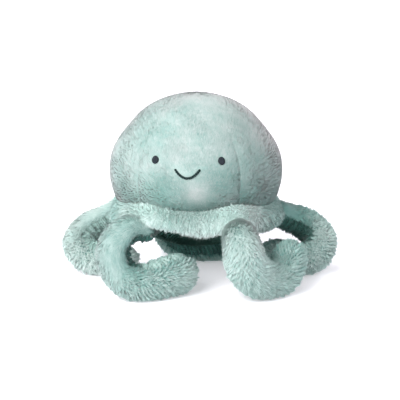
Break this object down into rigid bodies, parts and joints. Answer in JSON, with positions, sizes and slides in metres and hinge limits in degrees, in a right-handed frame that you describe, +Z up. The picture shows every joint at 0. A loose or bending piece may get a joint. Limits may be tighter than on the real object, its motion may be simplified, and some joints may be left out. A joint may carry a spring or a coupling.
{
  "type": "plush octopus toy",
  "caption": "Stuffed long-pile plush sea creature with a sewn dome head, padded skirt, embroidered face and springy arms that curl under it and hold it up.",
  "frame": {"origin": "on the floor that the toy stands on, below the middle of its bounding box", "axes": "+Z up; the face looks along -Y; +X is to the right as seen from in front of the face"},
  "size_m": [0.2884, 0.2516, 0.1939],
  "materials": {
    "plush_cloth": "pale mint long-pile plush",
    "gathered_cloth": "the same plush, gathered and in its own shade",
    "eye_thread": "dark slate satin stitch",
    "mouth_yarn": "dark green embroidery thread",
    "stuffing_fibre": "loose white polyester fibre"
  },
  "bodies": {
    "body": {"face_panel": "plush_cloth", "right_head_panel": "plush_cloth", "right_rear_head_panel": "plush_cloth", "left_rear_head_panel": "plush_cloth", "left_head_panel": "plush_cloth", "base_panel": "plush_cloth", "skirt": "plush_cloth", "head_filling": "stuffing_fibre", "eye_left": "eye_thread", "eye_right": "eye_thread", "mouth_stitch": "mouth_yarn"},
    "front_left_arm": {"front_left_arm_outer": "plush_cloth", "front_left_arm_inner": "gathered_cloth", "front_left_arm_filling": "stuffing_fibre"},
    "front_right_arm": {"front_right_arm_outer": "plush_cloth", "front_right_arm_inner": "gathered_cloth", "front_right_arm_filling": "stuffing_fibre"},
    "right_arm": {"right_arm_outer": "plush_cloth", "right_arm_inner": "gathered_cloth", "right_arm_filling": "stuffing_fibre"},
    "rear_arm": {"rear_arm_outer": "plush_cloth", "rear_arm_inner": "gathered_cloth", "rear_arm_filling": "stuffing_fibre"},
    "left_arm": {"left_arm_outer": "plush_cloth", "left_arm_inner": "gathered_cloth", "left_arm_filling": "stuffing_fibre"}
  },
  "joints": [
    {"name": "front_left_arm_lift", "type": "hinge", "parent": "body", "child": "front_left_arm", "pos_m": [-0.04654, -0.08192, 0.067], "axis": [-0.8746, 0.4848, 0], "range_deg": [-12, 35], "stiffness_Nm_per_rad": 0.8},
    {"name": "front_right_arm_lift", "type": "hinge", "parent": "body", "child": "front_right_arm", "pos_m": [0.0463, -0.07949, 0.067], "axis": [-0.848, -0.5299, 0], "range_deg": [-12, 35], "stiffness_Nm_per_rad": 0.8},
    {"name": "right_arm_lift", "type": "hinge", "parent": "body", "child": "right_arm", "pos_m": [0.08241, 0.02236, 0.062], "axis": [0.2756, -0.9613, 0], "range_deg": [-12, 35], "stiffness_Nm_per_rad": 0.8},
    {"name": "rear_arm_lift", "type": "hinge", "parent": "body", "child": "rear_arm", "pos_m": [-0.00218, 0.08611, 0.062], "axis": [1, 0, 0], "range_deg": [-12, 35], "stiffness_Nm_per_rad": 0.8},
    {"name": "left_arm_lift", "type": "hinge", "parent": "body", "child": "left_arm", "pos_m": [-0.08677, 0.02236, 0.062], "axis": [0.2756, 0.9613, 0], "range_deg": [-12, 35], "stiffness_Nm_per_rad": 0.8}
  ]
}
